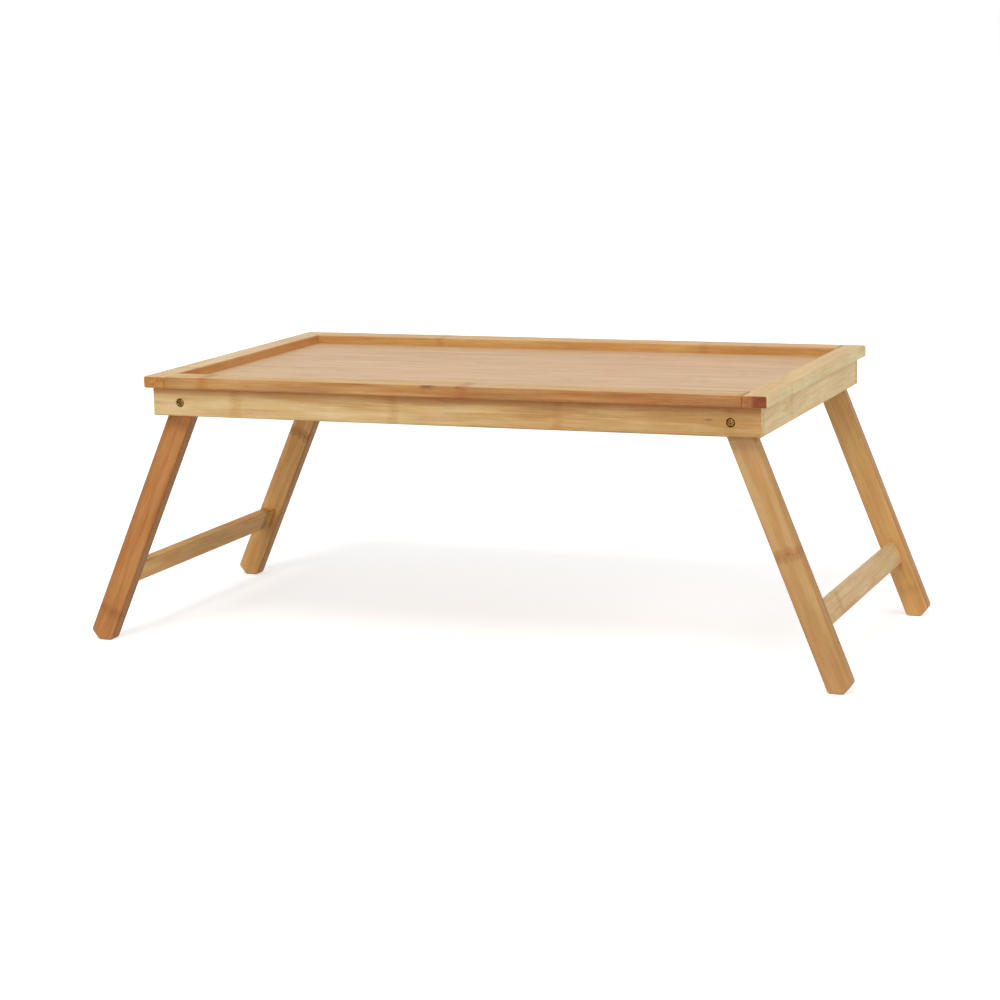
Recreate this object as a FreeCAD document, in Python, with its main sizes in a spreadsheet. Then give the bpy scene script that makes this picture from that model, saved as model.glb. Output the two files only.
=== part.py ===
import FreeCAD, Part
import math
import os

import Sketcher

# Folding bed tray in bamboo.
#
# Frame: +X to the right, +Y to the back, +Z up. The origin lies on the floor, in the
# middle between the outer corners of the feet. The tray is a thin panel clamped
# between a box of four rails and a rim of four flatter rails. A leg frame, two legs
# and a stretcher, turns on a pair of pivot screws near each end and rests on a bevel
# along the lower edge of the end rail. Both frames fold flat inside the box.

# ----------------------------------------------------------------- driving sizes

SIZES = (
    ("TrayLength", "502", "rim, left to right"),
    ("TrayWidth", "300", "rim, front to back"),
    ("StandHeight", "217.5", "floor to the top of the rim"),
    ("RimHeight", "9", "height of a rim rail"),
    ("LongRimWidth", "23", "width of the front and back rim rails"),
    ("EndRimWidth", "19", "width of the left and right rim rails"),
    ("SideOverhang", "5", "rim beyond the front and back rails"),
    ("EndOverhang", "6", "rim beyond the left and right rails"),
    ("RimCorner", "3", "rounding of the rim's upright corners"),
    ("RimEdge", "1.2", "rounding of the rim's long edges"),
    ("RailHeight", "22", "height of the box of rails"),
    ("LongRailThickness", "8", "front and back rails"),
    ("EndRailThickness", "9", "left and right rails"),
    ("RailEdge", "1", "rounding of the rails' edges"),
    ("PanelThickness", "3", "tray panel"),
    ("PanelSeat", "1", "depth of the ledge cut in the rails for the panel"),
    ("LedgeWidth", "4", "width of that ledge"),
    ("PanelPlay", "0.2", "panel to the end of its ledge, all round"),
    ("LegWidth", "19.5", "leg, across its flat side"),
    ("LegThickness", "12", "leg, front to back"),
    ("LegEdge", "1.2", "rounding of a leg's edges"),
    ("LeftSplay", "24", "lean of the left leg frame, degrees"),
    ("RightSplay", "22", "lean of the right leg frame, degrees"),
    ("PivotRise", "10.4", "pivot above the rails' lower edge"),
    ("StopBevel", "1.2", "bevel at the end rail's lower edge, inwards"),
    ("StopPlay", "0.2", "open leg to that bevel"),
    ("FootFlat", "11.4", "flat of a foot on the floor"),
    ("FootHeel", "8", "height of the cut-off outer corner of a foot"),
    ("FootRounding", "3.5", "rounding of a foot's corners"),
    ("StretcherWidth", "18.5", "stretcher, along the legs"),
    ("StretcherThickness", "7", "stretcher, through"),
    ("StretcherDrop", "156.6", "pivot to the middle of the stretcher"),
    ("StretcherEdge", "1", "rounding of a stretcher's edges"),
    ("TenonLength", "6.5", "tenon in the leg"),
    ("TenonWidth", "12", "tenon, along the legs"),
    ("TenonThickness", "4", "tenon, through"),
    ("TenonPlay", "0.1", "tenon to its mortise, each side"),
    ("MortiseSpare", "0.5", "mortise beyond the end of the tenon"),
    ("ScrewDiameter", "4", "shank of a pivot screw"),
    ("ScrewTail", "0.8", "shank beyond its lock nut"),
    ("ScrewLeadIn", "0.5", "chamfer at the end of the shank"),
    ("HeadDiameter", "6.2", "head of a pivot screw"),
    ("HeadHeight", "2.2", "height of the head"),
    ("HeadRounding", "1.1", "rounding of the head"),
    ("HeadSink", "2.8", "depth of the counterbore for the head"),
    ("HeadPlay", "0.4", "head to the counterbore's wall"),
    ("SlotLength", "3.8", "cross recess, tip to tip"),
    ("SlotWidth", "0.9", "cross recess, across a slot"),
    ("SlotDepth", "1.2", "cross recess, depth"),
    ("TurnPlay", "0.08", "screw to the bores that it passes, radially"),
    ("TurnGap", "0.2", "leg to the washer on each side"),
    ("WasherDiameter", "10", "washers"),
    ("WasherThickness", "0.8", "washers"),
    ("NutFlats", "7", "lock nut across its flats"),
    ("NutHeight", "3.2", "hexagon of the lock nut"),
    ("CollarDiameter", "6", "collar of the lock nut"),
    ("CollarHeight", "1.4", "collar above the hexagon"),
    ("CollarRounding", "0.6", "rounding of the collar"),
    ("ThreadPlay", "0.03", "lock nut to the shank, radially"),
)

# ------------------------------------------------------- sizes worked out from them

DERIVED = (
    ("RailTop", "Sizes.StandHeight - Sizes.RimHeight"),
    ("RailBottom", "Sizes.StandHeight - Sizes.RimHeight - Sizes.RailHeight"),
    ("PivotHeight", "Sizes.StandHeight - Sizes.RimHeight - Sizes.RailHeight + Sizes.PivotRise"),
    ("LongRimLength", "Sizes.TrayLength - 2 * Sizes.EndRimWidth"),
    ("LongRailLength", "Sizes.TrayLength - 2 * Sizes.EndOverhang"),
    ("EndRailLength", "Sizes.TrayWidth - 2 * (Sizes.SideOverhang + Sizes.LongRailThickness)"),
    ("LongBedInset", "Sizes.SideOverhang + Sizes.LongRailThickness - Sizes.LedgeWidth"),
    ("EndBedInset", "Sizes.EndOverhang + Sizes.EndRailThickness - Sizes.LedgeWidth"),
    ("BedLength", "Sizes.TrayLength - 2 * Derived.EndBedInset"),
    ("BedWidth", "Sizes.TrayWidth - 2 * Derived.LongBedInset"),
    ("RebateHeight", "Sizes.PanelThickness - Sizes.PanelSeat"),
    ("LeftReach", "(Sizes.StopPlay + Sizes.LegWidth / 2 + Sizes.PivotRise * sin(Sizes.LeftSplay))"
                  " / cos(Sizes.LeftSplay)"),
    ("RightReach", "(Sizes.StopPlay + Sizes.LegWidth / 2 + Sizes.PivotRise * sin(Sizes.RightSplay))"
                   " / cos(Sizes.RightSplay)"),
    ("StopLine", "Sizes.TrayLength / 2 - Sizes.EndOverhang - Sizes.EndRailThickness + Sizes.StopBevel"),
    ("LeftPivot", "Derived.StopLine - Derived.LeftReach"),
    ("RightPivot", "Derived.StopLine - Derived.RightReach"),
    ("LeftFootReach", "Derived.LeftPivot + (Sizes.LegWidth / 2 + (Derived.PivotHeight - Sizes.FootHeel)"
                      " * sin(Sizes.LeftSplay)) / cos(Sizes.LeftSplay)"),
    ("RightFootReach", "Derived.RightPivot + (Sizes.LegWidth / 2 + (Derived.PivotHeight - Sizes.FootHeel)"
                       " * sin(Sizes.RightSplay)) / cos(Sizes.RightSplay)"),
    ("TrayMiddle", "(Derived.LeftFootReach - Derived.RightFootReach) / 2"),
    ("LeftBevelHeight", "Sizes.StopBevel / tan(Sizes.LeftSplay)"),
    ("RightBevelHeight", "Sizes.StopBevel / tan(Sizes.RightSplay)"),
    ("RailOutside", "Sizes.TrayWidth / 2 - Sizes.SideOverhang"),
    ("RailInside", "Derived.RailOutside - Sizes.LongRailThickness"),
    ("LegOutside", "Derived.RailInside - Sizes.WasherThickness - Sizes.TurnGap"),
    ("LegMiddle", "Derived.LegOutside - Sizes.LegThickness / 2"),
    ("LegInside", "Derived.LegOutside - Sizes.LegThickness"),
    ("NutSeat", "Derived.LegInside - Sizes.TurnGap - Sizes.WasherThickness"),
    ("NutLength", "Sizes.NutHeight + Sizes.CollarHeight"),
    ("HeadSeat", "Derived.RailOutside - Sizes.HeadSink"),
    ("ShankLength", "Derived.HeadSeat - Derived.NutSeat + Derived.NutLength + Sizes.ScrewTail"),
    ("BoreDiameter", "Sizes.ScrewDiameter + 2 * Sizes.TurnPlay"),
)

SNAP = 0.001
LEFT, RIGHT = -1, 1
FRONT, BACK = -1, 1
SIDES = ((LEFT, "left", "Left"), (RIGHT, "right", "Right"))
FACINGS = ((FRONT, "front"), (BACK, "back"))

doc = FreeCAD.newDocument("BedTray")
sizes = doc.addObject("Spreadsheet::Sheet", "Sizes")
derived = doc.addObject("Spreadsheet::Sheet", "Derived")
sub_parts = []


def fill_sheets():
    for row, (alias, number, note) in enumerate(SIZES, 1):
        sizes.set(f"A{row}", note)
        sizes.set(f"B{row}", number)
        sizes.setAlias(f"B{row}", alias)
    for row, (alias, formula) in enumerate(DERIVED, 1):
        derived.set(f"A{row}", alias)
        derived.setAlias(f"B{row}", alias)
        derived.set(f"B{row}", "=" + formula.replace("Derived.", ""))
    doc.recompute()


def value(formula):
    """The number that a formula of sheet values stands for."""
    return float(sizes.evalExpression(formula))


# ------------------------------------------------------------------ sketch helpers

def new_body(name):
    body = doc.addObject("PartDesign::Body", name)
    body.Label = name
    sub_parts.append(body)
    return body


def new_sketch(body, name, plane, offset=None):
    """A sketch on one of the body's own origin planes, moved along its normal."""
    support = next(item for item in body.Origin.OriginFeatures if item.Role == plane)
    sketch = body.newObject("Sketcher::SketchObject", name)
    sketch.AttachmentSupport = (support, [""])
    sketch.MapMode = "FlatFace"
    if offset:
        sketch.setExpression("AttachmentOffset.Base.z", offset)
    return sketch


def bind(sketch, constraint, name, formula):
    """Adds a dimension and ties it to the sheets."""
    number = sketch.addConstraint(constraint)
    sketch.renameConstraint(number, name)
    sketch.setExpression(f"Constraints.{name}", formula)


def groups_of_neighbours(labels):
    """Runs of equal labels round a closed outline, as lists of corner numbers."""
    groups = [[0]]
    for corner in range(1, len(labels)):
        if labels[corner] == labels[corner - 1]:
            groups[-1].append(corner)
        else:
            groups.append([corner])
    if len(groups) > 1 and labels[0] == labels[-1]:
        groups[0] += groups.pop()
    return groups


def pin_corner(sketch, corner, direction, formula):
    """Holds one coordinate of a corner at its formula's distance from the origin."""
    axis = -2 if direction == "X" else -1
    if formula == "0":
        sketch.addConstraint(Sketcher.Constraint("PointOnObject", corner, 1, axis))
        return
    distance = value(formula)
    name = f"{direction}{corner}"
    kind = f"Distance{direction}"
    if distance > 0:
        bind(sketch, Sketcher.Constraint(kind, -1, 1, corner, 1, distance), name, formula)
    else:
        bind(sketch, Sketcher.Constraint(kind, corner, 1, -1, 1, -distance), name, f"-({formula})")


def draw_outline(sketch, corners):
    """A closed outline of straight lines. Each corner is a pair of formulas."""
    points = [FreeCAD.Vector(value(across), value(up), 0) for across, up in corners]
    count = len(corners)
    for corner in range(count):
        line = Part.LineSegment(points[corner], points[(corner + 1) % count])
        sketch.addGeometry(line, False)
    for corner in range(count):
        following = (corner + 1) % count
        sketch.addConstraint(Sketcher.Constraint("Coincident", corner, 2, following, 1))
        if corners[corner][0] == corners[following][0]:
            sketch.addConstraint(Sketcher.Constraint("Vertical", corner))
        if corners[corner][1] == corners[following][1]:
            sketch.addConstraint(Sketcher.Constraint("Horizontal", corner))
    for place, direction in ((0, "X"), (1, "Y")):
        for group in groups_of_neighbours([corner[place] for corner in corners]):
            pin_corner(sketch, group[0], direction, corners[group[0]][place])


def draw_rectangle(sketch, left, right, bottom, top):
    draw_outline(sketch, ((left, bottom), (right, bottom), (right, top), (left, top)))


def draw_circle(sketch, name, across, up, diameter):
    """A circle whose centre is given by two formulas, negative ones included."""
    centre = FreeCAD.Vector(value(across), value(up), 0)
    circle = Part.Circle(centre, FreeCAD.Vector(0, 0, 1), value(diameter) / 2)
    number = sketch.addGeometry(circle, False)
    bind(sketch, Sketcher.Constraint("Diameter", number, value(diameter)), name, diameter)
    for direction, formula, axis in (("X", across, -2), ("Y", up, -1)):
        if formula == "0":
            sketch.addConstraint(Sketcher.Constraint("PointOnObject", number, 3, axis))
            continue
        distance = value(formula)
        kind = f"Distance{direction}"
        ends = (-1, 1, number, 3) if distance > 0 else (number, 3, -1, 1)
        signed = formula if distance > 0 else f"-({formula})"
        constraint = Sketcher.Constraint(kind, *ends, abs(distance))
        bind(sketch, constraint, name + direction, signed)


def draw_slot(sketch, width, thickness, drop):
    """An upright slot with round ends, centred below the origin."""
    radius = value(thickness) / 2
    spread = (value(width) - value(thickness)) / 2
    middle = -value(drop)
    up = FreeCAD.Vector(0, 0, 1)
    top = FreeCAD.Vector(0, middle + spread, 0)
    bottom = FreeCAD.Vector(0, middle - spread, 0)
    side = FreeCAD.Vector(radius, 0, 0)
    sketch.addGeometry(Part.LineSegment(bottom + side, top + side), False)
    sketch.addGeometry(Part.ArcOfCircle(Part.Circle(top, up, radius), 0, math.pi), False)
    sketch.addGeometry(Part.LineSegment(top - side, bottom - side), False)
    sketch.addGeometry(Part.ArcOfCircle(Part.Circle(bottom, up, radius), math.pi, 2 * math.pi), False)
    for number in range(4):
        following = (number + 1) % 4
        sketch.addConstraint(Sketcher.Constraint("Tangent", number, 2, following, 1))
    for number in (1, 3):
        sketch.addConstraint(Sketcher.Constraint("PointOnObject", number, 3, -2))
    half_spread = f"({width} - ({thickness})) / 2"
    bind(sketch, Sketcher.Constraint("Diameter", 1, 2 * radius), "Thickness", thickness)
    constraint = Sketcher.Constraint("DistanceY", 1, 3, -1, 1, -middle - spread)
    bind(sketch, constraint, "UpperEnd", f"{drop} - {half_spread}")
    constraint = Sketcher.Constraint("DistanceY", 3, 3, -1, 1, -middle + spread)
    bind(sketch, constraint, "LowerEnd", f"{drop} + {half_spread}")


# ----------------------------------------------------------------- feature helpers

def pad(body, sketch, name, length, symmetric=False):
    feature = body.newObject("PartDesign::Pad", name)
    feature.Profile = sketch
    feature.setExpression("Length", length)
    if symmetric:
        feature.SideType = "Symmetric"
    doc.recompute()
    return feature


def cut_away(body, feature, base):
    """Recomputes a cutting feature and makes sure that it removed material."""
    doc.recompute()
    if not feature.Shape.Volume < base.Shape.Volume - SNAP:
        raise RuntimeError(f"{body.Label}: {feature.Label} cuts nothing")
    return feature


def pocket(body, sketch, name, base, length=None, reverse=False):
    """A pocket of a given depth, or right through both ways without one."""
    feature = body.newObject("PartDesign::Pocket", name)
    feature.Profile = sketch
    feature.Reversed = reverse
    if length:
        feature.setExpression("Length", length)
    else:
        feature.SideType = "Symmetric"
        feature.Type = "ThroughAll"
    return cut_away(body, feature, base)


def ease(body, base, name, edges, radius):
    """Rounds edges."""
    if not edges:
        raise RuntimeError(f"{body.Label}: {name} finds no edge")
    feature = body.newObject("PartDesign::Fillet", name)
    feature.Base = (base, edges)
    feature.setExpression("Radius", radius)
    doc.recompute()
    return feature


def edges_along(feature, axis, spots):
    """Edges parallel to an axis (0, 1 or 2) at the given places across it."""
    across = [place for place in range(3) if place != axis]
    names = []
    for number, edge in enumerate(feature.Shape.Edges, 1):
        ends = [vertex.Point for vertex in edge.Vertexes]
        if len(ends) != 2 or abs(ends[0][axis] - ends[1][axis]) < SNAP:
            continue
        if any(abs(ends[0][place] - ends[1][place]) > SNAP for place in across):
            continue
        here = [ends[0][place] for place in across]
        if any(math.dist(here, spot) < SNAP for spot in spots):
            names.append(f"Edge{number}")
    return names


def edges_in_plane(feature, axis, levels, longest_radius=None):
    """Edges that lie in a plane across an axis, or only the round ones up to a radius."""
    names = []
    for number, edge in enumerate(feature.Shape.Edges, 1):
        start, end = edge.ParameterRange
        heights = [edge.valueAt(start + share * (end - start))[axis] for share in (0, 0.3, 0.6, 1)]
        round_edge = isinstance(edge.Curve, Part.Circle)
        if longest_radius and not (round_edge and abs(edge.Curve.Radius - longest_radius) < SNAP):
            continue
        if any(max(abs(height - level) for height in heights) < SNAP for level in levels):
            names.append(f"Edge{number}")
    return names


def place(item, across, along, up, axis=(0, 0, 1), angle=0):
    """Turns a sub-part about an axis and ties its position to the sheets.

    across is measured from the middle of the tray.
    """
    turn = FreeCAD.Rotation(FreeCAD.Vector(*axis), angle)
    item.Placement = FreeCAD.Placement(FreeCAD.Vector(), turn)
    item.setExpression("Placement.Base.x", f"Derived.TrayMiddle + ({across})")
    item.setExpression("Placement.Base.y", along)
    item.setExpression("Placement.Base.z", up)


def half_turn(first):
    """Angle about Z that turns the piece of one end round for the other."""
    return 0 if first else 180


# ------------------------------------------------------------------- panel and rim

def make_panel():
    """Thin board whose margin lies on the rails' ledges, under the rim."""
    body = new_body("tray_panel")
    outline = new_sketch(body, "PanelOutline", "XY_Plane")
    half_length = "(Derived.BedLength / 2 - Sizes.PanelPlay)"
    half_width = "(Derived.BedWidth / 2 - Sizes.PanelPlay)"
    draw_rectangle(outline, "-" + half_length, half_length, "-" + half_width, half_width)
    pad(body, outline, "Panel", "Sizes.PanelThickness")
    place(body, "0", "0", "Derived.RailTop - Sizes.PanelSeat")


def make_long_rim(facing, word):
    """Front or back rim rail: it runs between the end ones, rebated over the panel.

    Local frame: X along the rail, Y inwards from its outer face, Z up.
    """
    body = new_body(f"rim_{word}")
    section = new_sketch(body, "Section", "YZ_Plane")
    draw_outline(section, (
        ("0", "0"),
        ("0", "Sizes.RimHeight"),
        ("Sizes.LongRimWidth", "Sizes.RimHeight"),
        ("Sizes.LongRimWidth", "Derived.RebateHeight"),
        ("Derived.LongBedInset", "Derived.RebateHeight"),
        ("Derived.LongBedInset", "0"),
    ))
    rail = pad(body, section, "Rail", "Derived.LongRimLength", symmetric=True)
    top = value("Sizes.RimHeight")
    width = value("Sizes.LongRimWidth")
    edges = edges_along(rail, 0, ((0, 0), (0, top), (width, top)))
    ease(body, rail, "LongEdges", edges, "Sizes.RimEdge")
    sign = "-" if facing == FRONT else ""
    place(body, "0", f"{sign}Sizes.TrayWidth / 2", "Derived.RailTop", angle=half_turn(facing == FRONT))


def make_end_rim(side, word):
    """Left or right rim rail: full width, so that its end grain shows at the corners.

    Local frame: Y along the rail, X inwards from its outer face, Z up.
    """
    body = new_body(f"rim_{word}")
    section = new_sketch(body, "Section", "XZ_Plane")
    draw_rectangle(section, "0", "Sizes.EndRimWidth", "0", "Sizes.RimHeight")
    rail = pad(body, section, "Rail", "Sizes.TrayWidth", symmetric=True)
    rebate = new_sketch(body, "RebateOutline", "XY_Plane")
    draw_rectangle(rebate, "Derived.EndBedInset", "Sizes.EndRimWidth",
                   "-Derived.BedWidth / 2", "Derived.BedWidth / 2")
    rebated = pocket(body, rebate, "Rebate", rail, "Derived.RebateHeight", reverse=True)
    half = value("Sizes.TrayWidth") / 2
    corners = edges_along(rebated, 2, ((0, -half), (0, half)))
    rounded = ease(body, rebated, "Corners", corners, "Sizes.RimCorner")
    top = value("Sizes.RimHeight")
    width = value("Sizes.EndRimWidth")
    inner = edges_along(rounded, 1, ((width, top),))
    softened = ease(body, rounded, "InnerEdge", inner, "Sizes.RimEdge")
    outer = edges_along(softened, 1, ((0, 0), (0, top)))
    ease(body, softened, "OuterEdges", outer, "Sizes.RimEdge")
    sign = "-" if side == LEFT else ""
    place(body, f"{sign}Sizes.TrayLength / 2", "0", "Derived.RailTop", angle=half_turn(side == LEFT))


# ------------------------------------------------------------------ box of rails

def make_long_rail(facing, word):
    """Front or back rail, with the panel's ledge and two counterbored pivot holes.

    Local frame: X along the rail, Y inwards from its outer face, Z up.
    """
    body = new_body(f"rail_{word}")
    section = new_sketch(body, "Section", "YZ_Plane")
    draw_rectangle(section, "0", "Sizes.LongRailThickness", "0", "Sizes.RailHeight")
    rail = pad(body, section, "Rail", "Derived.LongRailLength", symmetric=True)
    ledge = new_sketch(body, "LedgeOutline", "XY_Plane", "Sizes.RailHeight")
    draw_rectangle(ledge, "-Derived.BedLength / 2", "Derived.BedLength / 2",
                   "Sizes.LongRailThickness - Sizes.LedgeWidth", "Sizes.LongRailThickness")
    ledged = pocket(body, ledge, "Ledge", rail, "Sizes.PanelSeat")
    half = value("Derived.LongRailLength") / 2
    corners = edges_along(ledged, 2, ((-half, 0), (half, 0)))
    rounded = ease(body, ledged, "Corners", corners, "Sizes.RailEdge")
    thickness = value("Sizes.LongRailThickness")
    lower = edges_along(rounded, 0, ((0, 0), (thickness, 0)))
    softened = ease(body, rounded, "LowerEdges", lower, "Sizes.RailEdge")
    centres = new_sketch(body, "PivotCentres", "XZ_Plane")
    local_left, local_right = ("Left", "Right") if facing == FRONT else ("Right", "Left")
    draw_circle(centres, "LocalLeft", f"-Derived.{local_left}Pivot", "Sizes.PivotRise",
                "Derived.BoreDiameter")
    draw_circle(centres, "LocalRight", f"Derived.{local_right}Pivot", "Sizes.PivotRise",
                "Derived.BoreDiameter")
    doc.recompute()
    holes = body.newObject("PartDesign::Hole", "PivotHoles")
    holes.Profile = centres
    holes.DepthType = "ThroughAll"
    holes.HoleCutType = "Counterbore"
    holes.HoleCutCustomValues = True
    holes.setExpression("Diameter", "Derived.BoreDiameter")
    holes.setExpression("HoleCutDiameter", "Sizes.HeadDiameter + 2 * Sizes.HeadPlay")
    holes.setExpression("HoleCutDepth", "Sizes.HeadSink")
    cut_away(body, holes, softened)
    sign = "-" if facing == FRONT else ""
    place(body, "0", f"{sign}Derived.RailOutside", "Derived.RailBottom", angle=half_turn(facing == FRONT))


def make_end_rail(side, word, hand):
    """Left or right rail between the long ones, with the ledge and the legs' stop.

    The bevel at the lower inner edge lies along the open leg's outer edge.
    Local frame: Y along the rail, X inwards from its outer face, Z up.
    """
    body = new_body(f"rail_{word}")
    section = new_sketch(body, "Section", "XZ_Plane")
    draw_outline(section, (
        ("0", "0"),
        ("Sizes.EndRailThickness - Sizes.StopBevel", "0"),
        ("Sizes.EndRailThickness", f"Derived.{hand}BevelHeight"),
        ("Sizes.EndRailThickness", "Sizes.RailHeight - Sizes.PanelSeat"),
        ("Sizes.EndRailThickness - Sizes.LedgeWidth", "Sizes.RailHeight - Sizes.PanelSeat"),
        ("Sizes.EndRailThickness - Sizes.LedgeWidth", "Sizes.RailHeight"),
        ("0", "Sizes.RailHeight"),
    ))
    rail = pad(body, section, "Rail", "Derived.EndRailLength", symmetric=True)
    lower = edges_along(rail, 1, ((0, 0),))
    ease(body, rail, "LowerEdge", lower, "Sizes.RailEdge")
    sign = "-" if side == LEFT else ""
    outside = f"{sign}(Sizes.TrayLength / 2 - Sizes.EndOverhang)"
    place(body, outside, "0", "Derived.RailBottom", angle=half_turn(side == LEFT))


# ---------------------------------------------------------------------- leg frames

def draw_leg(sketch, side, hand):
    """Flat side of a leg: round head about the pivot, flat foot on the floor.

    Local frame: pivot at the origin, Z up along the leg, X across it. The floor
    lies under the pivot at an angle, because the leg leans out towards the side.
    """
    half = value("Sizes.LegWidth") / 2
    lean = math.radians(value(f"Sizes.{hand}Splay"))
    pivot_height = value("Derived.PivotHeight")
    flat = value("Sizes.FootFlat")
    heel = value("Sizes.FootHeel")
    inner_foot = (half * math.sin(lean) - pivot_height) / math.cos(lean)
    heel_top = (heel - pivot_height - half * math.sin(lean)) / math.cos(lean)
    inner = FreeCAD.Vector(-side * half, inner_foot, 0)
    toe = inner + FreeCAD.Vector(side * flat * math.cos(lean), -flat * math.sin(lean), 0)
    outer = FreeCAD.Vector(side * half, heel_top, 0)
    inner_top = FreeCAD.Vector(-side * half, 0, 0)
    outer_top = FreeCAD.Vector(side * half, 0, 0)
    for start, end in ((inner_top, inner), (inner, toe), (toe, outer), (outer, outer_top)):
        sketch.addGeometry(Part.LineSegment(start, end), False)
    head = Part.Circle(FreeCAD.Vector(), FreeCAD.Vector(0, 0, 1), half)
    sketch.addGeometry(Part.ArcOfCircle(head, 0, math.pi), False)
    for line in (0, 1, 2):
        sketch.addConstraint(Sketcher.Constraint("Coincident", line, 2, line + 1, 1))
    outer_end, inner_end = (1, 2) if side == RIGHT else (2, 1)
    sketch.addConstraint(Sketcher.Constraint("Coincident", 3, 2, 4, outer_end))
    sketch.addConstraint(Sketcher.Constraint("Coincident", 0, 1, 4, inner_end))
    sketch.addConstraint(Sketcher.Constraint("Coincident", 4, 3, -1, 1))
    sketch.addConstraint(Sketcher.Constraint("Vertical", 0))
    sketch.addConstraint(Sketcher.Constraint("Vertical", 3))
    sketch.addConstraint(Sketcher.Constraint("PointOnObject", 0, 1, -1))
    bind(sketch, Sketcher.Constraint("Diameter", 4, 2 * half), "Width", "Sizes.LegWidth")
    constraint = Sketcher.Constraint("Distance", -1, 1, 1, pivot_height)
    bind(sketch, constraint, "PivotHeight", "Derived.PivotHeight")
    turn = side * (math.pi / 2 - lean)
    formula = f"90 - Sizes.{hand}Splay" if side == RIGHT else f"Sizes.{hand}Splay - 90"
    bind(sketch, Sketcher.Constraint("Angle", 0, 1, turn), "FloorAngle", formula)
    bind(sketch, Sketcher.Constraint("Distance", 1, flat), "Flat", "Sizes.FootFlat")
    bind(sketch, Sketcher.Constraint("Distance", 2, 2, 1, heel), "Heel", "Sizes.FootHeel")
    return inner, toe, outer


def lean_out(body, side, hand, middle):
    """Hangs a piece of a leg frame from its pivot and leans it out."""
    sign = "-" if side == LEFT else ""
    splay = f"Sizes.{hand}Splay"
    place(body, f"{sign}Derived.{hand}Pivot", middle, "Derived.PivotHeight", (0, -side, 0), value(splay))
    body.setExpression("Placement.Rotation.Angle", splay)


def make_leg(side, word, hand, facing, facing_word):
    """Leg with its pivot bore and, on the inner side, the stretcher's mortise."""
    body = new_body(f"leg_{word}_{facing_word}")
    outline = new_sketch(body, "Outline", "XZ_Plane")
    foot = draw_leg(outline, side, hand)
    blank = pad(body, outline, "Blank", "Sizes.LegThickness", symmetric=True)
    corners = edges_along(blank, 1, [(corner.x, corner.y) for corner in foot])
    shaped = ease(body, blank, "FootCorners", corners, "Sizes.FootRounding")
    half_thickness = value("Sizes.LegThickness") / 2
    rims = edges_in_plane(shaped, 1, (-half_thickness, half_thickness))
    eased = ease(body, shaped, "Edges", rims, "Sizes.LegEdge")
    centre = new_sketch(body, "PivotCentre", "XZ_Plane")
    draw_circle(centre, "Bore", "0", "0", "Derived.BoreDiameter")
    bored = pocket(body, centre, "PivotBore", eased)
    face = "-Sizes.LegThickness / 2" if facing == FRONT else "Sizes.LegThickness / 2"
    mortise = new_sketch(body, "MortiseOutline", "XZ_Plane", face)
    draw_slot(mortise, "(Sizes.TenonWidth + 2 * Sizes.TenonPlay)",
              "(Sizes.TenonThickness + 2 * Sizes.TenonPlay)", "Sizes.StretcherDrop")
    pocket(body, mortise, "Mortise", bored, "Sizes.TenonLength + Sizes.MortiseSpare",
           reverse=facing == FRONT)
    sign = "-" if facing == FRONT else ""
    lean_out(body, side, hand, f"{sign}Derived.LegMiddle")


def make_stretcher(side, word, hand):
    """Flat board between the legs of a frame, with a round-ended tenon in each."""
    body = new_body(f"stretcher_{word}")
    section = new_sketch(body, "Section", "XZ_Plane")
    draw_rectangle(section, "-Sizes.StretcherThickness / 2", "Sizes.StretcherThickness / 2",
                   "-Sizes.StretcherDrop - Sizes.StretcherWidth / 2",
                   "-Sizes.StretcherDrop + Sizes.StretcherWidth / 2")
    board = pad(body, section, "Board", "2 * Derived.LegInside", symmetric=True)
    half = value("Sizes.StretcherThickness") / 2
    low = value("-Sizes.StretcherDrop - Sizes.StretcherWidth / 2")
    high = value("-Sizes.StretcherDrop + Sizes.StretcherWidth / 2")
    edges = edges_along(board, 1, ((-half, low), (half, low), (-half, high), (half, high)))
    ease(body, board, "LongEdges", edges, "Sizes.StretcherEdge")
    tenon = new_sketch(body, "TenonOutline", "XZ_Plane")
    draw_slot(tenon, "Sizes.TenonWidth", "Sizes.TenonThickness", "Sizes.StretcherDrop")
    pad(body, tenon, "Tenons", "2 * (Derived.LegInside + Sizes.TenonLength)", symmetric=True)
    lean_out(body, side, hand, "0")


# ------------------------------------------------------------------- pivot hardware

def set_on_pivot(item, side, hand, facing, depth):
    """Lays a piece of hardware on a pivot axis, its Z pointing into the tray."""
    across = "-" if side == LEFT else ""
    away = "-" if facing == FRONT else ""
    place(item, f"{across}Derived.{hand}Pivot", f"{away}({depth})", "Derived.PivotHeight",
          (1, 0, 0), 90 * facing)


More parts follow.
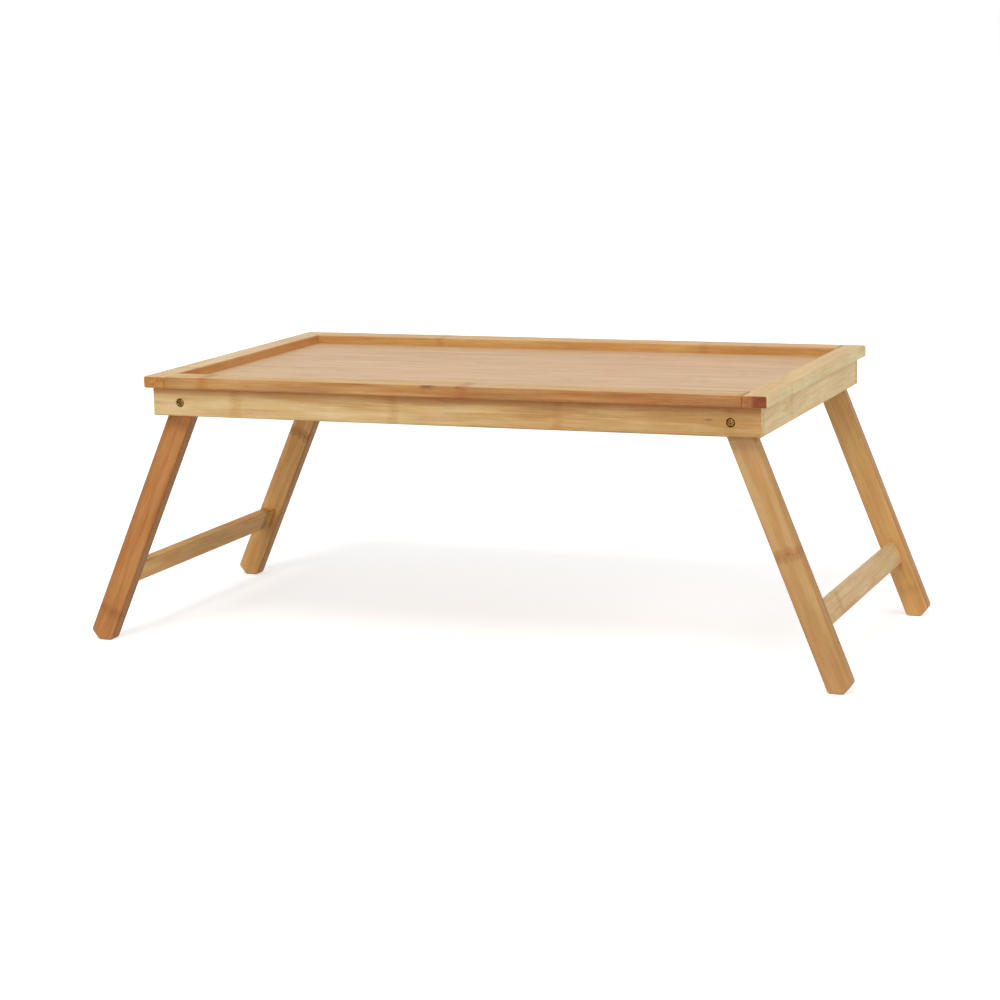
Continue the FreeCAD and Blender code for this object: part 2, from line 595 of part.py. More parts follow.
def make_screw(side, word, hand, facing, facing_word):
    """Pan-head screw with a cross recess, turned about its axis."""
    body = new_body(f"pivot_screw_{word}_{facing_word}")
    profile = new_sketch(body, "Profile", "XZ_Plane")
    draw_outline(profile, (
        ("0", "-Sizes.HeadHeight"),
        ("Sizes.HeadDiameter / 2", "-Sizes.HeadHeight"),
        ("Sizes.HeadDiameter / 2", "0"),
        ("Sizes.ScrewDiameter / 2", "0"),
        ("Sizes.ScrewDiameter / 2", "Derived.ShankLength"),
        ("0", "Derived.ShankLength"),
    ))
    turned = body.newObject("PartDesign::Revolution", "Turned")
    turned.Profile = profile
    turned.ReferenceAxis = (profile, ["V_Axis"])
    turned.Angle = 360
    doc.recompute()
    rim = edges_in_plane(turned, 2, (-value("Sizes.HeadHeight"),), value("Sizes.HeadDiameter / 2"))
    domed = ease(body, turned, "Dome", rim, "Sizes.HeadRounding")
    tail = edges_in_plane(domed, 2, (value("Derived.ShankLength"),), value("Sizes.ScrewDiameter / 2"))
    pointed = body.newObject("PartDesign::Chamfer", "LeadIn")
    pointed.Base = (domed, tail)
    pointed.setExpression("Size", "Sizes.ScrewLeadIn")
    doc.recompute()
    slot = new_sketch(body, "SlotOutline", "XY_Plane", "-Sizes.HeadHeight")
    draw_rectangle(slot, "-Sizes.SlotLength / 2", "Sizes.SlotLength / 2",
                   "-Sizes.SlotWidth / 2", "Sizes.SlotWidth / 2")
    first = pocket(body, slot, "Slot", pointed, "Sizes.SlotDepth", reverse=True)
    cross = body.newObject("PartDesign::PolarPattern", "CrossRecess")
    cross.Originals = [first]
    cross.Axis = (slot, ["N_Axis"])
    cross.Angle = 90
    cross.Occurrences = 2
    body.Tip = cross
    cut_away(body, cross, first)
    set_on_pivot(body, side, hand, facing, "Derived.HeadSeat")


def make_washer(name, side, word, hand, facing, facing_word, depth):
    """Flat washer between two faces that turn on each other."""
    label = f"{name}_{word}_{facing_word}"
    disc = doc.addObject("Part::Cylinder", label + "_disc")
    disc.setExpression("Radius", "Sizes.WasherDiameter / 2")
    disc.setExpression("Height", "Sizes.WasherThickness")
    bore = doc.addObject("Part::Cylinder", label + "_bore")
    bore.setExpression("Radius", "Derived.BoreDiameter / 2")
    bore.setExpression("Height", "Sizes.WasherThickness")
    washer = doc.addObject("Part::Cut", label)
    washer.Label = label
    washer.Base = disc
    washer.Tool = bore
    set_on_pivot(washer, side, hand, facing, depth)
    sub_parts.append(washer)


def make_lock_nut(side, word, hand, facing, facing_word):
    """Hexagon with a round collar, its outer corners turned off on the seat side."""
    body = new_body(f"lock_nut_{word}_{facing_word}")
    profile = new_sketch(body, "Hexagon", "XY_Plane")
    half_flats = "Sizes.NutFlats / 2"
    half_side = "Sizes.NutFlats / 2 * tan(30)"
    tip = "Sizes.NutFlats / 2 / cos(30)"
    draw_outline(profile, (
        (f"-{half_side}", f"-{half_flats}"),
        (half_side, f"-{half_flats}"),
        (tip, "0"),
        (half_side, half_flats),
        (f"-{half_side}", half_flats),
        (f"-{tip}", "0"),
    ))
    hexagon = pad(body, profile, "Hex", "Sizes.NutHeight")
    corner_cut = new_sketch(body, "CornerCut", "XZ_Plane")
    draw_outline(corner_cut, (
        (half_flats, "0"),
        (f"{tip} + Sizes.CollarRounding", "0"),
        (f"{tip} + Sizes.CollarRounding", f"({tip} + Sizes.CollarRounding - {half_flats}) * tan(30)"),
    ))
    turned = body.newObject("PartDesign::Groove", "TurnedCorners")
    turned.Profile = corner_cut
    turned.ReferenceAxis = (corner_cut, ["V_Axis"])
    turned.Angle = 360
    cut_away(body, turned, hexagon)
    ring = new_sketch(body, "CollarOutline", "XY_Plane")
    draw_circle(ring, "Collar", "0", "0", "Sizes.CollarDiameter")
    collar = pad(body, ring, "Collar", "Derived.NutLength")
    rim = edges_in_plane(collar, 2, (value("Derived.NutLength"),), value("Sizes.CollarDiameter / 2"))
    rounded = ease(body, collar, "CollarEdge", rim, "Sizes.CollarRounding")
    thread = new_sketch(body, "ThreadOutline", "XY_Plane")
    draw_circle(thread, "Thread", "0", "0", "Sizes.ScrewDiameter + 2 * Sizes.ThreadPlay")
    pocket(body, thread, "Thread", rounded)
    set_on_pivot(body, side, hand, facing, "Derived.NutSeat")


# -------------------------------------------------------------------- the whole tray

def make_tray():
    make_panel()
    for facing, word in FACINGS:
        make_long_rim(facing, word)
        make_long_rail(facing, word)
    for side, word, hand in SIDES:
        make_end_rim(side, word)
        make_end_rail(side, word, hand)


def make_leg_frame(side, word, hand):
    make_stretcher(side, word, hand)
    for facing, facing_word in FACINGS:
        where = (side, word, hand, facing, facing_word)
        make_leg(*where)
        make_screw(*where)
        make_washer("spacer_washer", *where, "Derived.RailInside")
        make_washer("nut_washer", *where, "Derived.LegInside - Sizes.TurnGap")
        make_lock_nut(*where)


def check_and_write():
    """Every object has to be sound before any file is written."""
    doc.recompute()
    for item in doc.Objects:
        if "Invalid" in item.State or "Error" in item.State:
            raise RuntimeError(f"{item.Label} failed: {item.State}")
    for item in sub_parts:
        shape = item.Shape
        if shape.isNull() or not shape.isValid() or len(shape.Solids) != 1:
            raise RuntimeError(f"{item.Label} is not one sound solid")
    os.makedirs("parts", exist_ok=True)
    for item in sub_parts:
        item.Shape.exportStep(f"parts/{item.Label}.step")
        box = item.Shape.BoundBox
        print(f"{item.Label:28s} {item.Shape.Volume:10.1f} mm3  X {box.XMin:8.2f} {box.XMax:8.2f}"
              f"  Y {box.YMin:8.2f} {box.YMax:8.2f}  Z {box.ZMin:8.2f} {box.ZMax:8.2f}")


fill_sheets()
make_tray()
for frame_side, frame_word, frame_hand in SIDES:
    make_leg_frame(frame_side, frame_word, frame_hand)
check_and_write()
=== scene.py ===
import math
from functools import partial

import bpy
import numpy as np
from mathutils import Euler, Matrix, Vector

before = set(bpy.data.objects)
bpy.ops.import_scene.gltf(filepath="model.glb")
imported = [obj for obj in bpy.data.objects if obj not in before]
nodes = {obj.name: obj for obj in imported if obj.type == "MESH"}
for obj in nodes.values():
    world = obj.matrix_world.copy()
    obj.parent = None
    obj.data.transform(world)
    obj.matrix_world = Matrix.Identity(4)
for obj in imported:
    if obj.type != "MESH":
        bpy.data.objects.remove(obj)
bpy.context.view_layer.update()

# ---------------------------------------------------------------------------
# Tray panel
# A thin board of bamboo ply that lies on the rails' ledges under the rim. Its
# face is narrow strips of split cane laid along the tray, sanded and lacquered.
# ---------------------------------------------------------------------------

MM_PER_METRE = 1000


def paint(red, green, blue):
    """A colour as it is read off a screen, turned into the linear one that a shader wants."""
    shares = (value / 255 for value in (red, green, blue))
    return tuple(s / 12.92 if s <= 0.04045 else ((s + 0.055) / 1.055) ** 2.4 for s in shares) + (1.0,)


def put(tree, kind, inputs=None, **settings):
    """Adds a shader node. inputs maps a socket's name or number to a value or to a socket."""
    made = tree.nodes.new(kind)
    for name, value in settings.items():
        setattr(made, name, value)
    for key, value in (inputs or {}).items():
        if isinstance(value, bpy.types.NodeSocket):
            tree.links.new(value, made.inputs[key])
        else:
            made.inputs[key].default_value = value
    return made


def maths(tree, operation, *values, clamp=False):
    """One Math node on numbers or sockets, as its result."""
    inputs = dict(enumerate(values))
    return put(tree, "ShaderNodeMath", inputs, operation=operation, use_clamp=clamp).outputs[0]


def vector_maths(tree, operation, *values):
    """One Vector Math node on vectors or sockets, as its result, which is a number for LENGTH."""
    made = put(tree, "ShaderNodeVectorMath", dict(enumerate(values)), operation=operation)
    return made.outputs["Value" if operation == "LENGTH" else "Vector"]


def apart(tree, vector):
    """The three parts of a vector."""
    return put(tree, "ShaderNodeSeparateXYZ", {0: vector}).outputs


def together(tree, x, y, z):
    """One vector of three numbers."""
    return put(tree, "ShaderNodeCombineXYZ", {0: x, 1: y, 2: z}).outputs[0]


def ramp(tree, value, low, high, start=0.0, end=1.0, smooth=True):
    """value taken from low..high to start..end, held at both ends."""
    kind = "SMOOTHSTEP" if smooth else "LINEAR"
    inputs = {"Value": value, "From Min": low, "From Max": high, "To Min": start, "To Max": end}
    return put(tree, "ShaderNodeMapRange", inputs, interpolation_type=kind).outputs["Result"]


def blended(tree, share, first, second, how="MIX"):
    """One Mix node for colours, as its result. Its sockets 0, 6 and 7 are the share and the two colours."""
    inputs = {0: share, 6: first, 7: second}
    return put(tree, "ShaderNodeMix", inputs, data_type="RGBA", blend_type=how, clamp_factor=True).outputs[2]


def clouds(tree, place, waves, detail=2.0, roughness=0.5):
    """Noise from 0 to 1. waves is its number of waves per millimetre along, across and through a board."""
    scaled = vector_maths(tree, "MULTIPLY", place, waves)
    inputs = {"Vector": scaled, "Scale": 1.0, "Detail": detail, "Roughness": roughness}
    return put(tree, "ShaderNodeTexNoise", inputs).outputs["Fac"]


def tools_for(tree):
    """maths, clouds, ramp and blended, each for one tree."""
    return [partial(tool, tree) for tool in (maths, clouds, ramp, blended)]


def new_group(name, numbers, vectors=(), colours=(), outputs=()):
    """An empty node group with its sockets made, and its input and output nodes."""
    group = bpy.data.node_groups.new(name, "ShaderNodeTree")
    for kind, names in (("Vector", vectors), ("Color", colours), ("Float", numbers)):
        for socket in names:
            group.interface.new_socket(name=socket, in_out="INPUT", socket_type="NodeSocket" + kind)
    for socket, kind in outputs:
        group.interface.new_socket(name=socket, in_out="OUTPUT", socket_type="NodeSocket" + kind)
    return group, group.nodes.new("NodeGroupInput").outputs, group.nodes.new("NodeGroupOutput").inputs


# What tints or stains the cane, as colours that multiply its own.
RUDDY_PATCH = (0.98, 0.78, 0.58, 1)
OLIVE_PATCH = (0.93, 0.96, 0.80, 1)
PORE = (0.42, 0.26, 0.13, 1)
GLUE_LINE = (0.40, 0.25, 0.13, 1)
HANDLED = (0.80, 0.62, 0.42, 1)


def make_cane_group():
    """Split cane glued side by side, as a solid pattern in board millimetres.

    X runs along the board, Y across its strips and Z through its layers. Each strip draws
    its own tone. Fibres are noise stretched along X. A joint of the cane is a soft dark band
    across the strip with a broken line in it, and comes every Spacing from First.
    """
    numbers = ("Strip", "Layer", "First", "Spacing", "Scatter", "Seed", "Drift", "Tones", "Fibres", "Joints")
    outputs = (("Color", "Color"), ("Fibre", "Float"), ("Height", "Float"))
    group, given, out = new_group("split_cane", numbers, ("Place",), ("Pale", "Deep", "Joint"), outputs)
    calc, noise, between, tint = tools_for(group)

    # Strips and layers are counted from the middle of the board, and each draws three chances.
    x, y, z = apart(group, given["Place"])
    across = calc("ADD", calc("DIVIDE", y, given["Strip"]), 0.5)
    through = calc("ADD", calc("DIVIDE", z, given["Layer"]), 0.5)
    corner = together(group, calc("FLOOR", across), calc("FLOOR", through), given["Seed"])
    chance = put(group, "ShaderNodeTexWhiteNoise", {"Vector": corner}, noise_dimensions="3D")
    tone, shift, bend = apart(group, chance.outputs["Color"])

    # A strip takes its fibres from a place of its own, so that none runs on into the next strip.
    farthest_along, farthest_across = 900.0, 70.0
    place = together(group, calc("MULTIPLY_ADD", shift, farthest_along, x),
                     calc("MULTIPLY_ADD", bend, farthest_across, y), calc("ADD", z, given["Seed"]))

    # Unevenness from broad swells to open vessels, and the fibres that streaks and threads make.
    swells = noise(place, (0.011, 0.13, 0.13))
    streaks = noise(place, (0.022, 0.8, 0.8), 3.0, 0.6)
    threads = noise(place, (0.06, 3.2, 3.2), 2.0, 0.6)
    vessel = between(noise(place, (0.10, 5.0, 5.0), 1.0), 0.58, 0.72)
    fibre = calc("ADD", between(streaks, 0.34, 0.68, 0, 0.6), between(threads, 0.36, 0.66, 0, 0.4))

    # From pale to deep by the strip's tone, its fibres, broad swells and a drift along the board.
    swell_depth = 0.30
    tonal = calc("MULTIPLY", calc("SUBTRACT", tone, 0.5), given["Tones"])
    depth = calc("MULTIPLY", calc("SUBTRACT", fibre, 0.5), given["Fibres"])
    swell = calc("MULTIPLY_ADD", x, given["Drift"], between(swells, 0.3, 0.7, -swell_depth, swell_depth))
    deep = calc("ADD", calc("ADD", tonal, depth), calc("ADD", swell, 0.5), clamp=True)
    colour = tint(deep, given["Pale"], given["Deep"])
    ruddy = between(noise(place, (0.024, 0.26, 0.26), 2.0, 0.55), 0.44, 0.70)
    olive = between(noise(place, (0.035, 0.20, 0.20)), 0.60, 0.36)
    for spread, patch in ((ruddy, RUDDY_PATCH), (olive, OLIVE_PATCH)):
        colour = tint(calc("MULTIPLY", spread, given["Tones"]), colour, patch, "MULTIPLY")

    # The joint's line is about 2 mm wide and its band about 9 mm, and both waver along the board.
    waver_reach, line_stain, band_stain = 7.0, 0.40, 0.52
    waver = calc("SUBTRACT", noise(place, (0.05, 0.22, 0.22)), 0.5)
    turns = calc("DIVIDE", calc("SUBTRACT", x, given["First"]), given["Spacing"])
    scattered = calc("MULTIPLY_ADD", shift, given["Scatter"], turns)
    beat = calc("FRACT", calc("ADD", scattered, 0.5))
    from_joint = calc("MULTIPLY", calc("SUBTRACT", beat, 0.5), given["Spacing"])
    off = calc("ABSOLUTE", calc("MULTIPLY_ADD", waver, waver_reach, from_joint))
    line = calc("MULTIPLY", between(off, 0.3, 1.7, 1, 0), between(streaks, 0.40, 0.60, 0.25, 1.0))
    band = between(off, 2.4, 6.4, 1, 0)
    stain = calc("MULTIPLY_ADD", line, line_stain, calc("MULTIPLY", band, band_stain))
    colour = tint(calc("MULTIPLY", stain, given["Joints"], clamp=True), colour, given["Joint"])

    # Open vessels are dark, and darker where they cross a joint.
    pore_stain, more_at_joint = 0.26, 0.25
    pores = calc("MULTIPLY", vessel, calc("MULTIPLY_ADD", band, more_at_joint, pore_stain))
    colour = tint(pores, colour, PORE, "MULTIPLY")

    def to_seam(count, width):
        """Millimetres to the nearer side of a strip or layer, from its count and its width."""
        from_middle = calc("ABSOLUTE", calc("SUBTRACT", calc("FRACT", count), 0.5))
        return calc("MULTIPLY", calc("SUBTRACT", 0.5, from_middle), width)

    nearest = calc("MINIMUM", to_seam(across, given["Strip"]), to_seam(through, given["Layer"]))
    seam = between(nearest, 0.05, 0.28, 0.30, 0)
    colour = tint(seam, colour, GLUE_LINE, "MULTIPLY")

    # Fibres and the joint's line stand up a little, and glue lines and vessels lie low.
    raised = calc("MULTIPLY_ADD", line, 0.5, fibre)
    height = calc("SUBTRACT", raised, calc("ADD", seam, vessel))
    for name, socket in (("Color", colour), ("Fibre", fibre), ("Height", height)):
        group.links.new(socket, out[name])
    return group


def make_end_group():
    """End grain of cane: dark fibre bundles as dots in a paler ground, closer together towards one skin.

    A dot is where the distance to the nearest random point is under a limit, which grows from
    one side of a layer to the other.
    """
    outputs = (("Color", "Color"),)
    group, given, out = new_group("cane_end", ("Layer",), ("Place",), ("Ground", "Bundle"), outputs)
    calc, noise, between, tint = tools_for(group)
    bundles_per_mm, smallest, growth, stain = 1.25, 0.26, 0.22, 0.6
    y, z = apart(group, given["Place"])[1:]
    skin = calc("FRACT", calc("ADD", calc("DIVIDE", z, given["Layer"]), 0.5))
    flat = together(group, y, z, 0.0)
    inputs = {"Vector": flat, "Scale": bundles_per_mm}
    cells = put(group, "ShaderNodeTexVoronoi", inputs, voronoi_dimensions="2D")
    limit = calc("MULTIPLY_ADD", skin, growth, smallest)
    dots = between(calc("SUBTRACT", cells.outputs["Distance"], limit), -0.06, 0.10, 1, 0)
    cloud = between(noise(flat, (0.25, 0.25, 0.25)), 0.35, 0.65, 0.0, 0.4)
    share = calc("MULTIPLY_ADD", dots, stain, cloud, clamp=True)
    group.links.new(tint(share, given["Ground"], given["Bundle"]), out["Color"])
    return group


def make_edge_group():
    """How near a place is to one of the long edges of a board, from 0 to 1, broken by use.

    The distance to an edge is the larger of the distances to the two sides that meet there.
    """
    group, given, out = new_group("board_edge", ("Reach",), ("Place", "Half"), (), (("Mask", "Float"),))
    calc, noise = tools_for(group)[:2]
    chip_size = 1.6
    inside = vector_maths(group, "ABSOLUTE", given["Place"])
    x, y, z = apart(group, vector_maths(group, "SUBTRACT", given["Half"], inside))
    smaller, larger = calc("MINIMUM", x, y), calc("MAXIMUM", x, y)
    near = calc("MAXIMUM", smaller, calc("MINIMUM", larger, z))
    chips = calc("SUBTRACT", noise(given["Place"], (0.10, 0.35, 0.35), 3.0, 0.6), 0.5)
    rubbed = calc("MULTIPLY_ADD", chips, chip_size, near)
    share = calc("SUBTRACT", 1.0, calc("DIVIDE", rubbed, given["Reach"]), clamp=True)
    group.links.new(share, out["Mask"])
    return group


def make_handling_group():
    """What handling leaves on lacquered wood: soft mottling of tone and of gloss, and a few rubbed spots."""
    outputs = (("Color", "Color"), ("Gloss", "Float"))
    group, given, out = new_group("handling", ("Amount",), ("Place",), ("Color",), outputs)
    calc, noise, between, tint = tools_for(group)
    gloss_of_rubbed, gloss_of_mottle = 0.10, 0.06
    mottle = noise(given["Place"], (0.018, 0.05, 0.05), 3.0, 0.6)
    rubbed = between(noise(given["Place"], (0.05, 0.07, 0.07), 4.0, 0.65), 0.56, 0.72)
    shade = calc("MULTIPLY", between(mottle, 0.35, 0.68), given["Amount"])
    gloss = calc("MULTIPLY_ADD", rubbed, gloss_of_rubbed, calc("MULTIPLY", mottle, gloss_of_mottle))
    group.links.new(tint(shade, given["Color"], HANDLED, "MULTIPLY"), out["Color"])
    group.links.new(gloss, out["Gloss"])
    return group


split_cane, cane_end = make_cane_group(), make_end_group()
board_edge, handling = make_edge_group(), make_handling_group()


def grouped(tree, group, inputs):
    """A group node with its inputs set or linked, as its outputs. inputs maps their names."""
    names = [item.name for item in group.interface.items_tree if item.in_out == "INPUT"]
    placed = {names.index(name): value for name, value in inputs.items()}
    return put(tree, "ShaderNodeGroup", placed, node_tree=group).outputs


def board_frame(node, turn):
    """The angles that turn X along a board, with its middle and its half sizes so turned, in millimetres."""
    angles = Euler([math.radians(a) for a in turn], "XYZ")
    mesh = nodes[node].data
    places = np.empty(len(mesh.vertices) * 3)
    mesh.vertices.foreach_get("co", places)
    turned = MM_PER_METRE * places.reshape(-1, 3) @ np.array(angles.to_matrix()).T
    low, high = turned.min(0), turned.max(0)
    return angles, (low + high) / 2, (high - low) / 2


def new_material(name):
    """A material with its tree, its Principled shader and nothing else."""
    made = bpy.data.materials.new(name)
    made.use_nodes = True
    return made, made.node_tree, made.node_tree.nodes["Principled BSDF"]


def dress(node, material):
    """Gives a CAD node its material in every slot."""
    for slot in nodes[node].material_slots:
        slot.material = material


def knotted(tree, colour, place, knot, knot_colour):
    """The colour with one knot: a ragged oval, long along the board, around a point of its face."""
    along, across, face, size = knot
    calc, noise, between, tint = tools_for(tree)
    away = vector_maths(tree, "SUBTRACT", place, (along, across, face))
    oval = vector_maths(tree, "MULTIPLY", away, (0.22, 1, 0.4))
    ragged = noise(place, (0.25, 0.9, 0.9))
    share_of_size = calc("DIVIDE", vector_maths(tree, "LENGTH", oval), size)
    spread = calc("MULTIPLY_ADD", ragged, 0.9, share_of_size)
    return tint(between(spread, 0.55, 1.6, 0.8, 0), colour, knot_colour)


# The finish of a board, and painted shade: colours that multiply its own with how strongly they do and,
# in millimetres, how far they reach. The colours for the panel's corners and for the rails under the rim
# are painted shade. The lacquer is satin, rougher on fibres and polished along worn edges.
BUNDLE_IN_END_GRAIN = (0.56, 0.46, 0.35, 1)
# Painted shade on the panel along the rim's inner edges, with its strength and its reach.
PAINTED_CORNER_SHADE, CORNER_SHADE_STRENGTH, CORNER_SHADE_REACH = (0.72, 0.55, 0.36, 1), 0.75, 5.0
# Painted shade on the rails just under the rim's overhang, with its strength and the reach of its darkest
# part.
PAINTED_SHADE_UNDER_RIM, RIM_SHADE_STRENGTH, RIM_SHADE_DARKEST_REACH = (0.68, 0.42, 0.18, 1), 0.85, 1.5
WORN_EDGE, EDGE_REACH = (0.66, 0.47, 0.28, 1), 1.5
PLAIN_END = ((178, 118, 68), (178, 118, 68))
KNOT_TO_JOINT = 0.66
LACQUER_ROUGHNESS, FIBRE_ROUGHNESS, EDGE_POLISH = 0.47, 0.10, -0.08
LACQUER_SPECULAR = 0.32
GRAIN_RELIEF = {"Strength": 0.35, "Distance": 0.00012}


def lacquered_cane(node, turn, pale, deep, joint, strip, layer, first, spacing, seed, end=PLAIN_END,
                   narrow=None, scatter=0.0, drift=0.0, tones=0.5, fibres=0.5, joints=0.8, worn=0.35,
                   edges=0.35, knots=(), painted_corner_shade=None, painted_rim_shade=0.0):
    """Clear-lacquered cane for one board.

    pale, deep and joint colour its wide sides and narrow its narrow ones. end holds the colours of
    the end grain at one side and at the other. strip, layer, first and spacing are in millimetres.
    knots are places along and across the board, each with its size, in millimetres.
    painted_corner_shade darkens the wide side near a rectangle of these half sizes, as painted shade
    in the corner along the rim, and painted_rim_shade darkens the topmost part of an upright board,
    as painted shade under the rim.
    """
    material, tree, shader = new_material(node + "_cane")
    calc, _, between, tint = tools_for(tree)
    angles, middle, half = board_frame(node, turn)

    # place is in board millimetres. along and across say how squarely a side faces those ways.
    source = put(tree, "ShaderNodeTexCoord").outputs
    to_board = {"Location": -Vector(middle), "Rotation": angles, "Scale": (MM_PER_METRE,) * 3}
    place = put(tree, "ShaderNodeMapping", {"Vector": source["Object"], **to_board}).outputs["Vector"]
    turned = {"Vector": source["Normal"], "Rotation": angles}
    facing = put(tree, "ShaderNodeMapping", turned, vector_type="VECTOR").outputs["Vector"]
    along, across = (calc("ABSOLUTE", part) for part in apart(tree, facing)[:2])
    x, y = apart(tree, place)[:2]

    sides = {"Pale": paint(*pale), "Deep": paint(*deep)}
    if narrow:
        on_narrow = between(across, 0.50, 0.80)
        thin = {"Pale": paint(*narrow[0]), "Deep": paint(*narrow[1])}
        sides = {key: tint(on_narrow, sides[key], thin[key]) for key in sides}
    grain = grouped(tree, split_cane, {
        "Place": place, "Joint": paint(*joint), "Strip": strip, "Layer": layer, "First": first,
        "Spacing": spacing, "Scatter": scatter, "Seed": seed, "Drift": drift, "Tones": tones,
        "Fibres": fibres, "Joints": joints, **sides})
    colour = grain["Color"]
    knot_colour = paint(*(KNOT_TO_JOINT * value for value in joint))
    for knot_along, knot_across, size in knots:
        colour = knotted(tree, colour, place, (knot_along, knot_across, half[2], size), knot_colour)
    # Painted shade: the panel darkens towards the rim's inner edges, where the corner lies in shade.
    if painted_corner_shade:
        room = calc("MINIMUM", calc("SUBTRACT", painted_corner_shade[0], calc("ABSOLUTE", x)),
                    calc("SUBTRACT", painted_corner_shade[1], calc("ABSOLUTE", y)))
        corner_shaded = between(room, 0.0, CORNER_SHADE_REACH, CORNER_SHADE_STRENGTH, 0)
        colour = tint(corner_shaded, colour, PAINTED_CORNER_SHADE, "MULTIPLY")
    # Painted shade: the topmost part of an upright board darkens where the rim overhangs it.
    if painted_rim_shade:
        from_top = calc("SUBTRACT", half[1], y)
        rim_shaded = between(from_top, RIM_SHADE_DARKEST_REACH, painted_rim_shade, RIM_SHADE_STRENGTH, 0)
        colour = tint(rim_shaded, colour, PAINTED_SHADE_UNDER_RIM, "MULTIPLY")

    # The end grain goes from one colour to the other across the board, over a few millimetres.
    ground = tint(between(y, -0.5, 4.0), *(paint(*shade) for shade in end))
    bundle = tint(1.0, ground, BUNDLE_IN_END_GRAIN, "MULTIPLY")
    cut = grouped(tree, cane_end, {"Place": place, "Layer": layer, "Ground": ground, "Bundle": bundle})
    colour = tint(between(along, 0.55, 0.85), colour, cut["Color"])
    edge = grouped(tree, board_edge, {"Place": place, "Half": tuple(half), "Reach": EDGE_REACH})["Mask"]
    colour = tint(calc("MULTIPLY", edge, edges), colour, WORN_EDGE, "MULTIPLY")
    touch = grouped(tree, handling, {"Place": place, "Color": colour, "Amount": worn})

    satin = calc("SUBTRACT", LACQUER_ROUGHNESS, touch["Gloss"])
    rough = calc("MULTIPLY_ADD", grain["Fibre"], FIBRE_ROUGHNESS, satin)
    bump = put(tree, "ShaderNodeBump", {"Height": grain["Height"], **GRAIN_RELIEF})
    tree.links.new(touch["Color"], shader.inputs["Base Color"])
    tree.links.new(calc("MULTIPLY_ADD", edge, EDGE_POLISH, rough), shader.inputs["Roughness"])
    tree.links.new(bump.outputs["Normal"], shader.inputs["Normal"])
    shader.inputs["Specular IOR Level"].default_value = LACQUER_SPECULAR
    dress(node, material)


# A board's turn is the three angles, in degrees, that bring X along it, Y across it and Z through it.
ALONG_X_FLAT = (0, 0, 0)

# The panel carries painted shade along the rim's inner edges.
lacquered_cane("tray_panel", ALONG_X_FLAT,
               pale=(240, 210, 170), deep=(224, 186, 145), joint=(200, 156, 112),
               strip=7.0, layer=1.0, first=-80.0, spacing=300.0, seed=3.0, scatter=1.0,
               drift=0.0008, tones=0.42, fibres=0.38, joints=0.35, worn=0.15, edges=0.0,
               painted_corner_shade=(231.9, 126.9))

# ---------------------------------------------------------------------------
# Rim
# Four flat rails of laminated cane, glued on top of the box. The end ones run
# through to the front and the back, where their end grain shows at the corners.
# ---------------------------------------------------------------------------

ALONG_Y_FLAT = (0, 0, -90)
LONG_RIM_CANE = {"strip": 23.5, "layer": 9.5}
END_RIM_CANE = {"strip": 19.5, "layer": 9.5}

lacquered_cane("rim_front", ALONG_X_FLAT, **LONG_RIM_CANE,
               pale=(221, 188, 131), deep=(202, 161, 105), joint=(172, 104, 44),
               narrow=((201, 156, 100), (161, 105, 56)), first=-199.0, spacing=216.0, seed=15.0,
               drift=0.0009, tones=0.9, knots=((-10.4, -11.2, 1.7), (13.6, -11.6, 0.9)))
lacquered_cane("rim_back", ALONG_X_FLAT, **LONG_RIM_CANE,
               pale=(234, 201, 145), deep=(214, 170, 115), joint=(158, 102, 48),
               narrow=((217, 177, 112), (189, 139, 80)), first=120.0, spacing=236.0, seed=19.0,
               joints=0.4)
lacquered_cane("rim_left", ALONG_Y_FLAT, **END_RIM_CANE,
               pale=(234, 206, 160), deep=(214, 178, 128), joint=(172, 124, 64),
               narrow=((217, 164, 103), (195, 134, 74)), first=-95.0, spacing=290.0, seed=23.0,
               joints=0.45, end=((200, 143, 68), (206, 146, 74)))
lacquered_cane("rim_right", ALONG_Y_FLAT, **END_RIM_CANE,
               pale=(223, 191, 138), deep=(207, 172, 113), joint=(184, 144, 80),
               narrow=((238, 217, 164), (224, 195, 137)), first=-83.0, spacing=250.0, seed=32.0,
               joints=0.35, end=((140, 70, 23), (181, 119, 60)))

# ---------------------------------------------------------------------------
# Box of rails
# Four upright rails of laminated cane under the rim, butt jointed and glued. The
# front and back ones hold the pivot screws, and all four have the panel's ledge.
# ---------------------------------------------------------------------------

ALONG_X_UPRIGHT = (-90, 0, 0)
ALONG_Y_UPRIGHT = (-90, -90, 0)
LONG_RAIL_CANE = {"strip": 23.0, "layer": 4.2}
END_RAIL_CANE = {"strip": 23.0, "layer": 4.7}
PALE_END = ((246, 212, 146), (246, 212, 146))
# How far down the rails the painted shade under the rim reaches, in millimetres.
PAINTED_RIM_SHADE_REACH = 8.0

lacquered_cane("rail_front", ALONG_X_UPRIGHT, **LONG_RAIL_CANE,
               pale=(216, 188, 140), deep=(182, 138, 82), joint=(172, 122, 60),
               first=-41.6, spacing=132.0, seed=35.0, drift=0.0019, joints=0.45,
               knots=((206.4, 1.0, 0.9),), end=PALE_END, painted_rim_shade=PAINTED_RIM_SHADE_REACH)
lacquered_cane("rail_back", ALONG_X_UPRIGHT, **LONG_RAIL_CANE,
               pale=(226, 188, 130), deep=(204, 154, 98), joint=(170, 116, 66),
               first=60.0, spacing=190.0, seed=37.0, end=PALE_END, painted_rim_shade=PAINTED_RIM_SHADE_REACH)
lacquered_cane("rail_left", ALONG_Y_UPRIGHT, **END_RAIL_CANE,
               pale=(226, 190, 132), deep=(204, 156, 98), joint=(170, 116, 66),
               first=20.0, spacing=210.0, seed=41.0, painted_rim_shade=PAINTED_RIM_SHADE_REACH)
